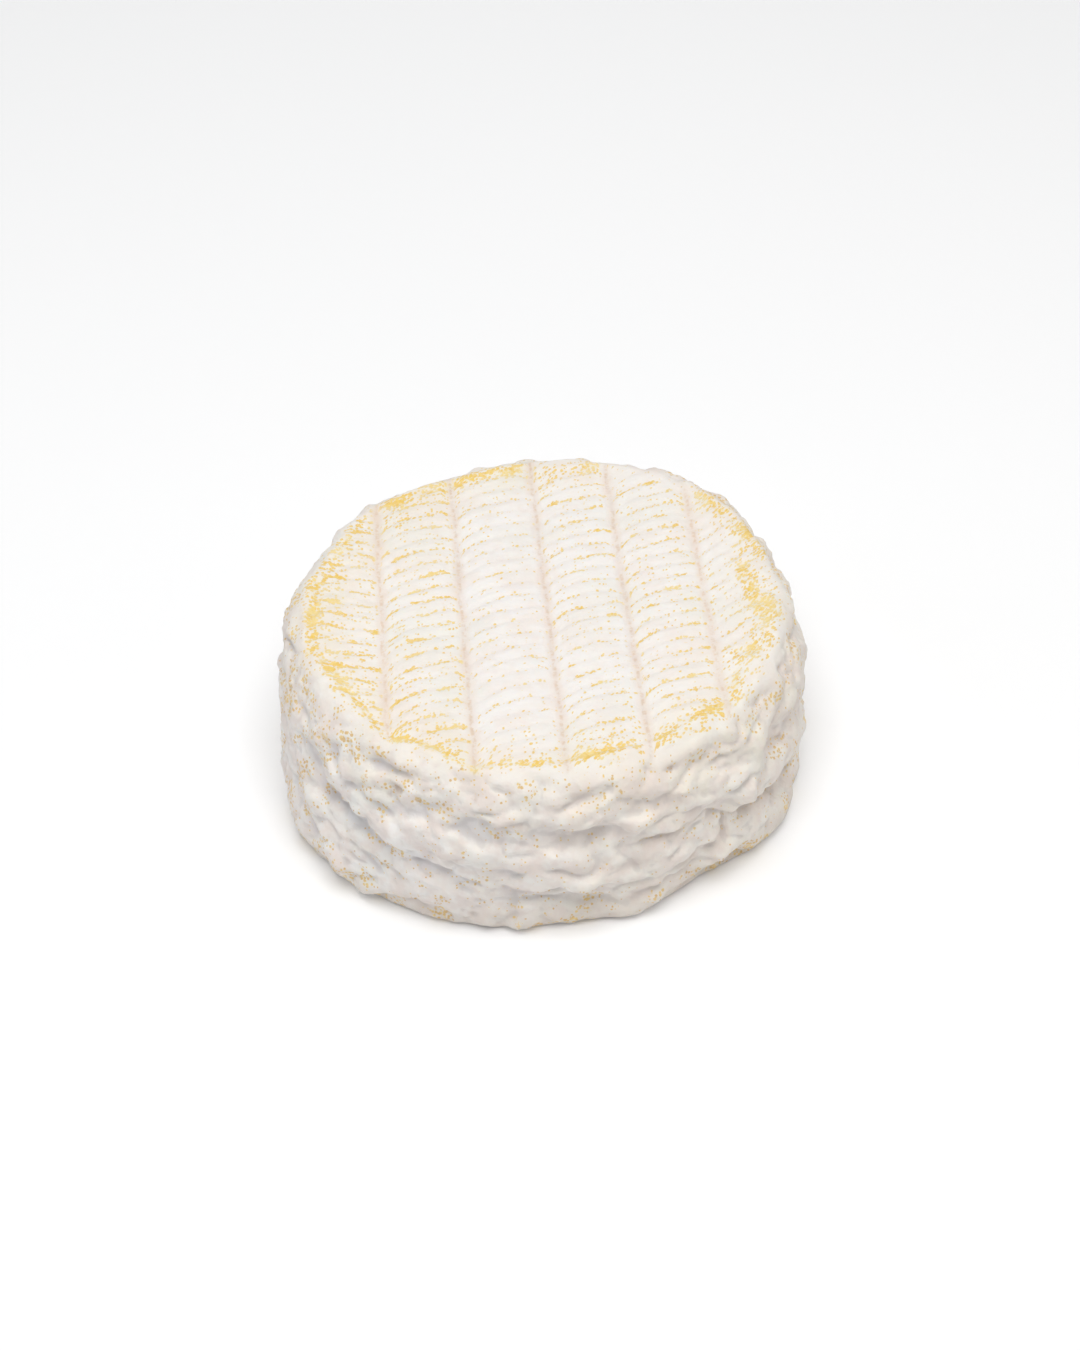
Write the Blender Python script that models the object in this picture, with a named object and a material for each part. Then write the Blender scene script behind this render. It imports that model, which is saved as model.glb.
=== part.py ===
"""A small soft-ripened cheese wheel with a white bloomy rind, about 11 cm across and 4 cm high.

The wheel is one solid. A turned profile with a slow uneven outline gives its body. Its side is
crumpled by folds, dents and lumps, and its top carries the marks of the rack that it dried on:
five long grooves, with a crowned band on either side of each and fine ribs across every band.

Metres, +Z up. The origin is on the flat underside, at the middle of the wheel's outline. Angles
run round the wheel in degrees from the front, -Y, towards +X.
"""

import math
import random

import bmesh
import bpy
import numpy as np
from mathutils import Vector, noise
from mathutils.geometry import delaunay_2d_cdt

NODE = "cheese_wheel"
MM = 0.001

# Driving dimensions, in millimetres.
RADIUS = 55.4
HEIGHT = 39.0
WIDEST_HEIGHT = 15.5
FOOT_INSET = 3.5
FOOT_SHARPNESS = 3.0
SHOULDER_INSET = 8.0
SHOULDER_SHARPNESS = 2.2

# Slow waves of the outline: waves round the wheel, size at the foot, size at the shoulder, and
# the angle of a crest.
OUTLINE_WAVES = (
    (1, 0.6, 0.0, -18.0),
    (2, 1.6, 1.7, -36.0),
    (3, 0.9, 0.0, -49.0),
    (3, 0.0, 0.3, 22.0),
    (4, 0.15, 0.5, -29.0),
)
# Shorter bulges of the outline, and flats below zero: angle, height, half width, half height, size.
OUTLINE_BULGES = (
    (-111.0, 35.0, 8.5, 8.0, -1.3),
    (-134.0, 37.0, 7.5, 8.0, 1.3),
    (-179.0, 37.0, 11.0, 8.0, 0.55),
    (142.0, 37.0, 12.0, 8.0, 1.0),
    (-88.0, 33.0, 5.0, 7.0, 0.9),
    (-81.0, 10.0, 8.0, 7.0, -1.7),
    (85.0, 12.0, 4.5, 4.0, 1.2),
    (80.0, 3.0, 8.0, 4.0, -0.7),
    (64.0, 3.0, 7.0, 6.0, 1.6),
    (41.0, 1.0, 10.0, 6.0, -0.8),
    (17.0, 1.0, 6.0, 6.0, 0.9),
    (-9.0, 1.0, 8.0, 6.0, 0.6),
    (-37.5, 1.0, 6.0, 6.0, -0.9),
    (-63.0, 3.0, 9.0, 8.0, 0.8),
    (-92.0, 24.0, 8.0, 7.0, -0.6),
    (-105.0, 35.0, 5.0, 6.0, -0.3),
    (97.0, 21.0, 11.0, 8.0, 0.3),
    (104.0, 31.0, 8.0, 7.0, 0.4),
    (52.0, 2.0, 5.0, 6.0, 0.7),
    (5.0, 1.0, 6.0, 5.0, -0.3),
    (-76.0, 14.0, 6.0, 7.0, -0.4),
)

# Marks of the drying rack on the top.
GROOVE_COUNT = 5
GROOVE_PITCH = 16.35
GROOVE_TURN = 4.4
GROOVE_DEPTH = 0.85
GROOVE_FLANK = 2.2
RIB_PITCH = 4.0
RIB_HEIGHT = 0.45
RIB_FOOT_RUN = 1.5
RIB_START_DROP = 4.6
RIB_START_RUN = 2.4
RIB_SLOPE = 12.0
RIB_END_DROP = 1.3
LEFT_BAND_SLOPE = -12.0
RIGHT_BAND_SLOPE = 40.0
DISH_DEPTH = 0.5
RACK_FADE = 4.5

# Folds in the front of the side: start and end as (angle, height), arch of the middle, depth of
# the crease, and rise of the lip over it.
FRONT_FOLDS = (
    ((-43, 33.4), (-21, 35.0), 0.4, 1.2, 0.6),
    ((-48, 34.0), (-48, 28.0), 0.2, 0.6, 0.2),
    ((-62, 27.0), (-46, 21.4), 0.2, 1.2, 0.5),
    ((-47, 27.4), (-31, 25.6), 0.3, 0.8, 0.4),
    ((-49, 21.4), (-29, 15.8), 0.6, 1.7, 0.8),
    ((-57, 14.8), (-49, 11.0), -0.6, 0.8, 0.3),
    ((-46, 13.8), (-28, 10.4), 0.5, 0.8, 0.4),
    ((-29, 15.6), (-11, 12.2), 1.8, 1.3, 0.7),
    ((-12, 12.6), (21, 5.6), 1.4, 1.1, 0.6),
    ((19, 5.8), (42, 6.2), 2.6, 1.0, 0.5),
    ((-18, 27.6), (3, 26.6), 0.4, 0.9, 0.5),
    ((-2, 24.6), (16, 22.0), 0.6, 0.8, 0.4),
    ((-15, 18.4), (-1, 16.6), 0.3, 0.8, 0.4),
    ((8, 32.6), (20, 36.2), 0.4, 0.7, 0.3),
    ((12, 32.0), (25, 28.6), -0.4, 0.8, 0.3),
    ((17, 19.8), (37, 21.2), -0.2, 1.5, 0.8),
    ((36, 21.2), (73, 11.2), -1.6, 1.9, 0.8),
    ((42, 18.6), (42, 9.8), 0.4, 1.1, 0.5),
    ((-6, 10.4), (-6, 2.5), 0.3, 0.7, 0.3),
    ((57, 28.0), (68, 30.4), 0.4, 0.8, 0.4),
    ((68, 36.2), (79, 33.4), 0.2, 0.8, 0.4),
)
# Dents, below zero, and lumps: angle, height, half width, half height and size.
FRONT_DENTS = (
    (-31, 30.8, 2.8, 2.4, -1.5),
    (-23.5, 28.8, 4.0, 2.6, -0.8),
    (-63, 35.4, 4.0, 2.2, -1.0),
    (-53, 26.5, 4.6, 3.0, -0.7),
    (-25, 34.0, 5.0, 1.8, 0.5),
    (-13, 32.4, 5.0, 2.4, 0.6),
    (-33, 21.8, 5.0, 2.2, 0.7),
    (-49, 17.4, 5.0, 2.2, 0.7),
    (-18, 22.8, 5.0, 2.6, 0.8),
    (-9, 20.8, 5.5, 2.4, 0.7),
    (-20, 10.2, 6.0, 2.8, 0.6),
    (-38, 6.0, 7.0, 3.4, 0.4),
    (4, 19.4, 6.0, 2.8, 0.9),
    (13, 24.0, 4.0, 2.6, -0.6),
    (8, 29.4, 5.0, 2.2, 0.4),
    (-2, 5.8, 4.0, 3.0, 0.7),
    (8, 14.6, 6.0, 2.6, 0.6),
    (20, 29.4, 4.4, 2.6, -0.9),
    (20, 26.2, 4.6, 2.0, 1.0),
    (33, 24.6, 4.4, 2.2, 0.9),
    (41, 29.2, 3.0, 2.3, -1.5),
    (36, 27.0, 2.4, 1.8, -0.6),
    (41, 25.6, 3.2, 1.9, 1.0),
    (41, 35.4, 6.5, 2.6, 0.5),
    (52, 27.0, 2.0, 4.0, 0.8),
    (31, 16.6, 8.5, 3.4, 1.4),
    (28, 8.0, 7.0, 2.6, 0.7),
    (52, 12.0, 3.6, 3.4, 0.5),
    (64, 22.6, 4.4, 3.4, -1.2),
    (76, 24.0, 3.0, 6.0, 0.7),
)
# A fold's section: its half width below the crease, the share of it above, and its lip's place and
# half width as shares of it.
FOLD_WIDTH = 4.2
FOLD_OVER = 0.55
LIP_PLACE = 1.0
LIP_WIDTH = 0.65

# The rest of the side has folds and dents of the same sizes, drawn between these limits from one
# seed.
BACK_SEED = 23
BACK_START = 82.0
BACK_END = 276.0
BACK_FOLDS = 22
BACK_LEVELS = (6.0, 15.5, 25.0)
BACK_LEVEL_SPREAD = 8.0
BACK_LENGTH = (10.0, 30.0)
BACK_DROP = (-5.0, 4.0)
BACK_ARCH = (-1.0, 2.2)
BACK_DEPTH = (0.9, 2.1)
BACK_LIP_SHARE = 0.45
BACK_DENTS = 16
BACK_DENT_LEVEL = (4.0, 34.0)
BACK_DENT_WIDTH = (2.5, 6.0)
BACK_DENT_HEIGHT = (2.0, 3.4)
BACK_DENT_SIZE = (0.6, 1.5)

# Lumps all over the side and the top: spacing and size. The same noise is read at other places
# for each kind, so that they differ.
SLOW_LUMP = (15.0, 0.8)
FINE_LUMP = (6.5, 0.45)
FINE_OFFSET = 60.0
TOP_OFFSET = 90.0

# Fineness of the mesh.
RING_POINTS = 168
SIDE_ROWS = 23
BAND_COLUMNS = (0.09, 0.24, 0.42, 0.6, 0.77, 0.92)
RIM_MARGIN = 1.5

RIND_COLOUR = (0.88, 0.85, 0.80, 1.0)
RIND_ROUGHNESS = 0.85


def smooth_step(low, high, value):
    """0 below low, 1 above high, and an even turn between them."""
    t = np.clip((value - low) / (high - low), 0.0, 1.0)
    return t * t * (3.0 - 2.0 * t)


def turn_between(angle, other):
    """The angle from other to angle, between -180 and 180."""
    return (angle - other + 180.0) % 360.0 - 180.0


def dent_push(angle, height, dent):
    """How far one dent or lump pushes the side out."""
    middle, level, half_width, half_height, size = dent
    across = turn_between(angle, middle) * math.radians(RADIUS) / half_width
    up = (height - level) / half_height
    return size * math.exp(-across * across - up * up)


def wave_at(angle, height):
    """How far the outline stands out from the mean radius at an angle and a height."""
    up = float(smooth_step(6.0, HEIGHT - 6.0, height))
    total = 0.0
    for count, at_foot, at_shoulder, crest in OUTLINE_WAVES:
        size = at_foot * (1.0 - up) + at_shoulder * up
        total += size * math.cos(math.radians(count * (angle - crest)))
    return total + sum(dent_push(angle, height, bulge) for bulge in OUTLINE_BULGES)


def arc(inset, rise, sharpness, steps=200):
    """A quarter of a superellipse, from its widest point to its end: insets and rises."""
    turn = np.linspace(0.0, math.pi / 2.0, steps)
    across = inset * (1.0 - np.cos(turn) ** (2.0 / sharpness))
    return across, rise * np.sin(turn) ** (2.0 / sharpness)


def side_profile(rows):
    """Insets from the widest radius and heights of the side's rows, evenly spaced along it."""
    foot_in, foot_drop = arc(FOOT_INSET, WIDEST_HEIGHT, FOOT_SHARPNESS)
    top_in, top_rise = arc(SHOULDER_INSET, HEIGHT - WIDEST_HEIGHT, SHOULDER_SHARPNESS)
    inset = np.concatenate([foot_in[::-1], top_in[1:]])
    height = np.concatenate([WIDEST_HEIGHT - foot_drop[::-1], WIDEST_HEIGHT + top_rise[1:]])
    steps = np.hypot(np.diff(inset), np.diff(height))
    run = np.concatenate([[0.0], np.cumsum(steps)])
    at = np.linspace(0.0, run[-1], rows + 1)
    return np.interp(at, run, inset), np.interp(at, run, height)


def flat_radius(angle):
    """Radius of the flat top's edge at an angle."""
    return RADIUS - SHOULDER_INSET + wave_at(angle, HEIGHT)


def rack_place(x, y):
    """Where a point of the top lies on the rack's marks: band, share across it, and run along."""
    turn = math.radians(GROOVE_TURN)
    across = x * math.cos(turn) + y * math.sin(turn)
    along = y * math.cos(turn) - x * math.sin(turn)
    bands = across / GROOVE_PITCH
    band = math.floor(bands)
    return band, bands - band, along


def top_place(across, along):
    """The point of the top at a distance across the grooves and a run along them."""
    turn = math.radians(GROOVE_TURN)
    x = across * math.cos(turn) - along * math.sin(turn)
    y = across * math.sin(turn) + along * math.cos(turn)
    return x, y


def rib_lift(band, share):
    """How far along the groove a rib has moved by the time it is a share across its band."""
    run = share * GROOVE_PITCH
    if band < -GROOVE_COUNT // 2:
        return run * math.tan(math.radians(LEFT_BAND_SLOPE))
    if band >= GROOVE_COUNT // 2:
        return run * math.tan(math.radians(RIGHT_BAND_SLOPE))
    start = -RIB_START_DROP * math.exp(-run / RIB_START_RUN)
    end = RIB_END_DROP * float(smooth_step(0.85, 1.0, share))
    return start + run * math.tan(math.radians(RIB_SLOPE)) - end


def rack_height(x, y):
    """Height of the top's marks over the bottom of the grooves' bands, never above zero."""
    band, share, along = rack_place(x, y)
    left_groove = -(GROOVE_COUNT // 2) <= band <= GROOVE_COUNT // 2
    right_groove = -(GROOVE_COUNT // 2) <= band + 1 <= GROOVE_COUNT // 2
    distance = GROOVE_PITCH
    if left_groove:
        distance = min(distance, share * GROOVE_PITCH)
    if right_groove:
        distance = min(distance, (1.0 - share) * GROOVE_PITCH)
    crown = GROOVE_DEPTH * (math.exp(-distance / GROOVE_FLANK))
    phase = (along - rib_lift(band, share)) / RIB_PITCH
    rib = 0.5 * RIB_HEIGHT * (math.cos(2.0 * math.pi * phase) - 1.0)
    return rib * (1.0 - math.exp(-distance / RIB_FOOT_RUN)) - crown


def lump(x, y, z, lump_size):
    """Even lumps of one size."""
    scale, size = lump_size
    return size * noise.noise(Vector((x, y, z)) / scale)


def back_folds():
    """Folds and dents round the back of the side, spread evenly with seeded differences."""
    draw = random.Random(BACK_SEED)
    sweep = BACK_END - BACK_START
    folds = []
    for index in range(BACK_FOLDS):
        angle = BACK_START + sweep * (index + draw.random()) / BACK_FOLDS
        level = BACK_LEVELS[index % len(BACK_LEVELS)] + draw.uniform(0.0, BACK_LEVEL_SPREAD)
        end = (angle + draw.uniform(*BACK_LENGTH), level + draw.uniform(*BACK_DROP))
        arch = draw.uniform(*BACK_ARCH)
        depth = draw.uniform(*BACK_DEPTH)
        folds.append(((angle, level), end, arch, depth, BACK_LIP_SHARE * depth))
    dents = []
    for index in range(BACK_DENTS):
        angle = BACK_START + sweep * (index + draw.random()) / BACK_DENTS
        level = draw.uniform(*BACK_DENT_LEVEL)
        size = draw.choice((-1.0, 1.0)) * draw.uniform(*BACK_DENT_SIZE)
        half_width = draw.uniform(*BACK_DENT_WIDTH)
        half_height = draw.uniform(*BACK_DENT_HEIGHT)
        dents.append((angle, level, half_width, half_height, size))
    return folds, dents


def fold_push(angle, height, fold):
    """How far one fold pushes the side out, below zero in its crease."""
    start, end, arch, depth, lip = fold
    per_degree = math.radians(RADIUS)
    chord_x = turn_between(end[0], start[0]) * per_degree
    chord_z = end[1] - start[1]
    length = math.hypot(chord_x, chord_z)
    point_x = turn_between(angle, start[0]) * per_degree
    point_z = height - start[1]
    share = (point_x * chord_x + point_z * chord_z) / length ** 2
    if share < -0.3 or share > 1.3:
        return 0.0
    beside = (point_z * chord_x - point_x * chord_z) / length
    inside = min(max(share, 0.0), 1.0)
    beside -= 4.0 * arch * inside * (1.0 - inside)
    reach = beside / FOLD_WIDTH
    taper = float(smooth_step(-0.15, 0.2, share) * (1.0 - smooth_step(0.8, 1.15, share)))
    crease = -depth * math.exp(-(reach / (FOLD_OVER if reach > 0.0 else 1.0)) ** 2)
    return taper * (crease + lip * math.exp(-((reach - LIP_PLACE) / LIP_WIDTH) ** 2))


def side_push(angle, height, folds, dents):
    """How far the side's folds, dents and lumps push it out at an angle and a height."""
    turn = math.radians(angle)
    x, y = RADIUS * math.sin(turn), -RADIUS * math.cos(turn)
    push = lump(x, y, height, SLOW_LUMP) + lump(x, y, height + FINE_OFFSET, FINE_LUMP)
    push += sum(fold_push(angle, height, fold) for fold in folds)
    push += sum(dent_push(angle, height, dent) for dent in dents)
    return push


def shoulder_share(inset):
    """1 on the flat top and the shoulder's crest, fading to 0 down the shoulder."""
    return float(smooth_step(SHOULDER_INSET - RACK_FADE, SHOULDER_INSET, inset))


def side_rings(folds, dents):
    """The side's rows of points, from the foot to the flat top's edge."""
    insets, heights = side_profile(SIDE_ROWS)
    rings = []
    for inset, height in zip(insets, heights):
        ring = []
        for step in range(RING_POINTS):
            angle = 360.0 * step / RING_POINTS
            radius = RADIUS - inset + wave_at(angle, height)
            turn = math.radians(angle)
            top = shoulder_share(inset) if height > WIDEST_HEIGHT else 0.0
            push = side_push(angle, height, folds, dents) * (1.0 - top)
            radius += push
            x, y = radius * math.sin(turn), -radius * math.cos(turn)
            ring.append((x, y, height + rack_height(x, y) * top))
        rings.append(ring)
    return rings


def top_height(x, y):
    """Height of the top at a point inside the flat top's edge."""
    angle = math.degrees(math.atan2(x, -y))
    share = math.hypot(x, y) / flat_radius(angle)
    dish = DISH_DEPTH * (1.0 - share ** 4)
    even = lump(x, y, TOP_OFFSET, FINE_LUMP) * (1.0 - share ** 4)
    return HEIGHT - dish + rack_height(x, y) + even


def rib_rows():
    """Runs along the groove of the ribs' crests and valleys, enough to cross the whole top."""
    half = 0.5 * RIB_PITCH
    count = int((RADIUS + RIB_START_DROP + RIGHT_BAND_SLOPE) / half)
    return [half * index for index in range(-count, count + 1)]


def top_grid():
    """Points of the top along its ribs and grooves, and the edges that join them."""
    points = []
    edges = []

    def add_line(line):
        """Keeps the stretches of a line that lie inside the rim, joined point to point."""
        last = None
        for x, y in line:
            angle = math.degrees(math.atan2(x, -y))
            if math.hypot(x, y) > flat_radius(angle) - RIM_MARGIN:
                last = None
                continue
            points.append((x, y))
            if last is not None:
                edges.append((last, len(points) - 1))
            last = len(points) - 1

    for groove in range(-(GROOVE_COUNT // 2), GROOVE_COUNT // 2 + 1):
        add_line([top_place(groove * GROOVE_PITCH, run) for run in rib_rows()])
    for band in range(-(GROOVE_COUNT // 2) - 1, GROOVE_COUNT // 2 + 1):
        for row in rib_rows():
            line = []
            for share in BAND_COLUMNS:
                across = (band + share) * GROOVE_PITCH
                line.append(top_place(across, row + rib_lift(band, share)))
            add_line(line)
    return points, edges


def top_faces(rim):
    """Points inside the rim, and the triangles that join them to it and to each other."""
    points, edges = top_grid()
    count = len(rim)
    flat = []
    for x, y in [(x, y) for x, y, z in rim] + points:
        angle = math.degrees(math.atan2(x, -y))
        flat.append(Vector((x, y)) / flat_radius(angle))
    rim_edges = [(index, (index + 1) % count) for index in range(count)]
    edges = rim_edges + [(first + count, second + count) for first, second in edges]
    found = delaunay_2d_cdt(flat, edges, [], 0, 1e-6)
    places = [None] * len(found[0])
    for index, sources in enumerate(found[3]):
        places[index] = sources[0]
    return points, found[2], places


def build_mesh():
    """The whole wheel as one closed mesh, in metres."""
    folds, dents = back_folds()
    rings = side_rings(list(FRONT_FOLDS) + folds, list(FRONT_DENTS) + dents)
    inner, triangles, places = top_faces(rings[-1])
    points = [point for ring in rings for point in ring]
    top_start = len(points) - RING_POINTS
    points += [(x, y, top_height(x, y)) for x, y in inner]
    points = np.array(points)
    middle = 0.5 * (points.max(axis=0) + points.min(axis=0))
    points[:, :2] -= middle[:2]
    points[:, 2] *= HEIGHT / points[:, 2].max()

    shape = bmesh.new()
    corners = [shape.verts.new(point * MM) for point in points]
    for row in range(SIDE_ROWS):
        low, high = row * RING_POINTS, (row + 1) * RING_POINTS
        for step in range(RING_POINTS):
            after = (step + 1) % RING_POINTS
            face = (low + step, low + after, high + after, high + step)
            shape.faces.new([corners[index] for index in face])
    for triangle in triangles:
        shape.faces.new([corners[top_start + places[index]] for index in triangle])
    shape.faces.new([corners[index] for index in reversed(range(RING_POINTS))])
    bmesh.ops.recalc_face_normals(shape, faces=shape.faces)
    mesh = bpy.data.meshes.new(NODE)
    shape.to_mesh(mesh)
    shape.free()
    mesh.shade_smooth()
    return mesh


def rind_material():
    """Dry, matt, off-white rind."""
    material = bpy.data.materials.new("white_rind")
    material.use_nodes = True
    shader = material.node_tree.nodes["Principled BSDF"]
    shader.inputs["Base Color"].default_value = RIND_COLOUR
    shader.inputs["Roughness"].default_value = RIND_ROUGHNESS
    shader.inputs["Metallic"].default_value = 0.0
    return material


def main():
    for old in list(bpy.data.objects):
        bpy.data.objects.remove(old, do_unlink=True)
    mesh = build_mesh()
    mesh.materials.append(rind_material())
    wheel = bpy.data.objects.new(NODE, mesh)
    bpy.context.scene.collection.objects.link(wheel)


main()
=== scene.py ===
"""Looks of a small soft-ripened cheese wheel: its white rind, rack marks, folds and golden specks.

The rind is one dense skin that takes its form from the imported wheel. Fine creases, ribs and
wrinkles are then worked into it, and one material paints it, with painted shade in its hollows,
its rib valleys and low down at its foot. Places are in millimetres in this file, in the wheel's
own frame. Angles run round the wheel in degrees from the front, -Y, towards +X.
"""

import math
import random
from types import SimpleNamespace

import bpy
import numpy as np
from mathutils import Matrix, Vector, noise
from mathutils.bvhtree import BVHTree


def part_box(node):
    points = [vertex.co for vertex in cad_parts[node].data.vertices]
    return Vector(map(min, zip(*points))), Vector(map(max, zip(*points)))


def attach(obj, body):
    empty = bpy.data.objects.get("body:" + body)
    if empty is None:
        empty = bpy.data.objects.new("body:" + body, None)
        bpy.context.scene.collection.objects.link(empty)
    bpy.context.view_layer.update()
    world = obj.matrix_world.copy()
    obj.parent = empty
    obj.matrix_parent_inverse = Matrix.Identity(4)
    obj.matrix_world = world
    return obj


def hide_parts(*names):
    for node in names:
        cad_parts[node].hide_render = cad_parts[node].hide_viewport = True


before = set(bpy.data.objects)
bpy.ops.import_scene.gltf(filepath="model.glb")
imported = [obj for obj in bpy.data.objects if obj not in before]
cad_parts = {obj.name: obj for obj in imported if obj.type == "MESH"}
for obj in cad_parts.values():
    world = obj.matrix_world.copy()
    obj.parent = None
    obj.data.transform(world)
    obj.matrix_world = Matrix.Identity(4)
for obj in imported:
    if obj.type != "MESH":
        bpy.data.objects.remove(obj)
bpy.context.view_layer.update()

NODE = "cheese_wheel"
MM = 0.001

# Camera, read from the outline, the rim line and the grooves.
CAMERA_ELEVATION = 40.5
CAMERA_DISTANCE = 608.0
CAMERA_AIM = (-0.93, 23.22, 0.0)
CAMERA_LENS = 74.3
CAMERA_SENSOR = 36.0
CAMERA_NEAR = 10.0

# The wheel, from the frame and the part's own sizes.
LOW, HIGH = (np.array(corner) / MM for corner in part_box(NODE))
HALF_WIDTH, HALF_DEPTH, HEIGHT = (HIGH - LOW)[0] / 2, (HIGH - LOW)[1] / 2, HIGH[2]
WIDEST_HEIGHT = 0.4 * HEIGHT
FOOT_INSET, SHOULDER_INSET = 3.5, 8.0
FOOT_SHARPNESS, SHOULDER_SHARPNESS = 3.0, 2.2
PROFILE_STEPS = 200
# Points lower than this lie in the flat underside.
UNDERSIDE = 0.03

# Marks of the drying rack, and where the grooves really run, off their even pitch.
GROOVE_COUNT = 5
GROOVE_PITCH = 16.35
GROOVE_TURN = 4.4
GROOVE_OFFSETS = (-0.4, -0.5, 0.5, 0.35, 0.2)
SIDE_GROOVES = GROOVE_COUNT // 2
RIB_PITCH = 4.0
# A rib starts this far back at its left groove, rises along its band and drops before the next.
RIB_START, RIB_START_REACH = -4.6, 2.4
RIB_RISE, LAST_BAND_RISE = 0.21, 0.84
RIB_DROP, RIB_DROP_SHARES = 1.3, (0.85, 1.0)

# Fineness of the skin: quads across the top and up the side.
TOP_QUADS = 150
SIDE_QUADS = 80
# The skin is cast onto the wheel from a round core of this size, from this far outside it. Its
# foot is measured this often round the wheel, in degrees.
CORE_RADIUS = 38.0
CORE_HEIGHT = 26.0
CAST_START = 70.0
FOOT_STEP = 0.5
WELD = 1e-6

# Where the top's face and the rack's marks begin and are whole, outside the shoulder's full inset,
# and between which shares of the height both come in. The side's relief fades out at the foot.
TOP_FADE, RACK_FADE = (5.0, 1.0), (3.0, 0.5)
UPPER_SHARES = (0.6, 0.8)
FOOT_FADE = (0.0, 2.0)

# Parts of the side: the angles over which each one begins, and ends. The left is counted from -Y
# towards -X.
LEFT_BEGINS, LEFT_ENDS = (50.0, 64.0), (122.0, 104.0)
RIGHT_BEGINS, RIGHT_OUTLINE_ENDS = (48.0, 62.0), (124.0, 106.0)
BOLD_BEGINS = (-20.0, 10.0)
SPECKLED_BEGINS, SPECKLED_ENDS = (0.0, -40.0), (-140.0, -110.0)
# Heights over which the left end's upright folds, the low specks and those near the rim come in.
UPRIGHT_BEGINS, UPRIGHT_ENDS = (17.0, 26.0), (39.0, 35.5)
LOW_SPECKS, RIM_SPECKS = (11.0, 2.0), (30.0, 37.0)

# Noise that shapes the rind: height, spacing each way, layers, and its place in the noise.
RELIEF = {
    "groove_wander": (0.45, (8.0, 8.0, 8.0), 1, 3.1),
    "groove_shiver": (0.15, (2.0, 2.0, 2.0), 1, 8.0),
    "rib_wander": (0.5, (7.0, 7.0, 7.0), 1, 11.7),
    "rib_shiver": (0.2, (2.5, 2.5, 2.5), 1, 19.0),
    "rib_patches": (1.2, (4.0, 3.0, 4.0), 1, 27.0),
    "rib_streaks": (0.15, (3.5, 1.0, 1.0), 2, 0.0),
    "top_waves": (0.22, (6.0, 6.0, 6.0), 1, 71.0),
    "top_grain": (0.05, (1.3, 1.3, 1.3), 2, 5.0),
    "stroke_edge": (1.1, (3.0, 3.0, 3.0), 2, 44.0),
    "stroke_strength": (0.7, (5.0, 5.0, 5.0), 1, 61.0),
    "bend_x": (1.5, (5.0, 5.0, 5.0), 1, 101.0),
    "bend_y": (1.5, (5.0, 5.0, 5.0), 1, 107.0),
    "bend_z": (1.5, (5.0, 5.0, 5.0), 1, 113.0),
    "swells": (1.5, (9.0, 9.0, 5.5), 1, 1.0),
    "cushions": (0.9, (7.5, 7.5, 4.8), 1, 17.0),
    "upright_folds": (0.45, (3.0, 3.0, 8.0), 1, 23.0),
    "upright_lumps": (0.35, (2.4, 2.4, 3.4), 1, 29.0),
    "lumps": (1.0, (3.4, 3.4, 2.4), 1, 37.0),
    "wrinkles": (1.0, (2.6, 2.6, 1.8), 2, 13.0),
    "underside_dimples": (1.0, (5.0, 5.0, 5.0), 1, 31.0),
    "speck_clusters": (1.0, (4.5, 4.5, 4.0), 1, 83.0),
}
LAYER_FALL, LAYER_FINENESS = 0.9, 2.1
VALLEY_ROUNDING = 0.002

# Depths of the rack's marks: a fine ridge in each wide groove, the ribs' valleys and half ribs, and
# the underside's dimples.
RIDGE_HEIGHT, RIDGE_WIDTH = 0.10, 1.0
GROOVE_DEPTH, GROOVE_WIDTH = 0.20, 3.0
FLANK_START = 1.8
VALLEY_DEPTH, HALF_RIB_DEPTH = 0.12, 0.10
PATCH_MIDDLE, PATCH_MOST = 0.5, 1.3
STREAK_LEVEL = 5.0
DIMPLE_DEPTH = 0.10

# How the side's relief changes at the left end, the right end and the bold front right of it.
SWELL_LEFT, SWELL_RIGHT, SWELL_BOLD = -0.7, 0.1, 0.35
LUMP_HEIGHT, LUMP_RIGHT, LUMP_BOLD = 0.36, -0.10, -0.08
WRINKLE_HEIGHT, WRINKLE_RIGHT = 0.42, 0.12
# Both ends are drawn in and pressed down above a limit, so that the outline keeps to the wheel's.
END_INSET, END_LIMIT, END_PRESS = 0.30, 0.35, 0.75
# A shallow hollow low at the right end: angle, height, reach round and up, and depth.
HOLLOW_ANGLE, HOLLOW_LEVEL, HOLLOW_ROUND, HOLLOW_UP, HOLLOW_DEPTH = 86.0, 13.0, 14.0, 8.0, 0.7

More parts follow.
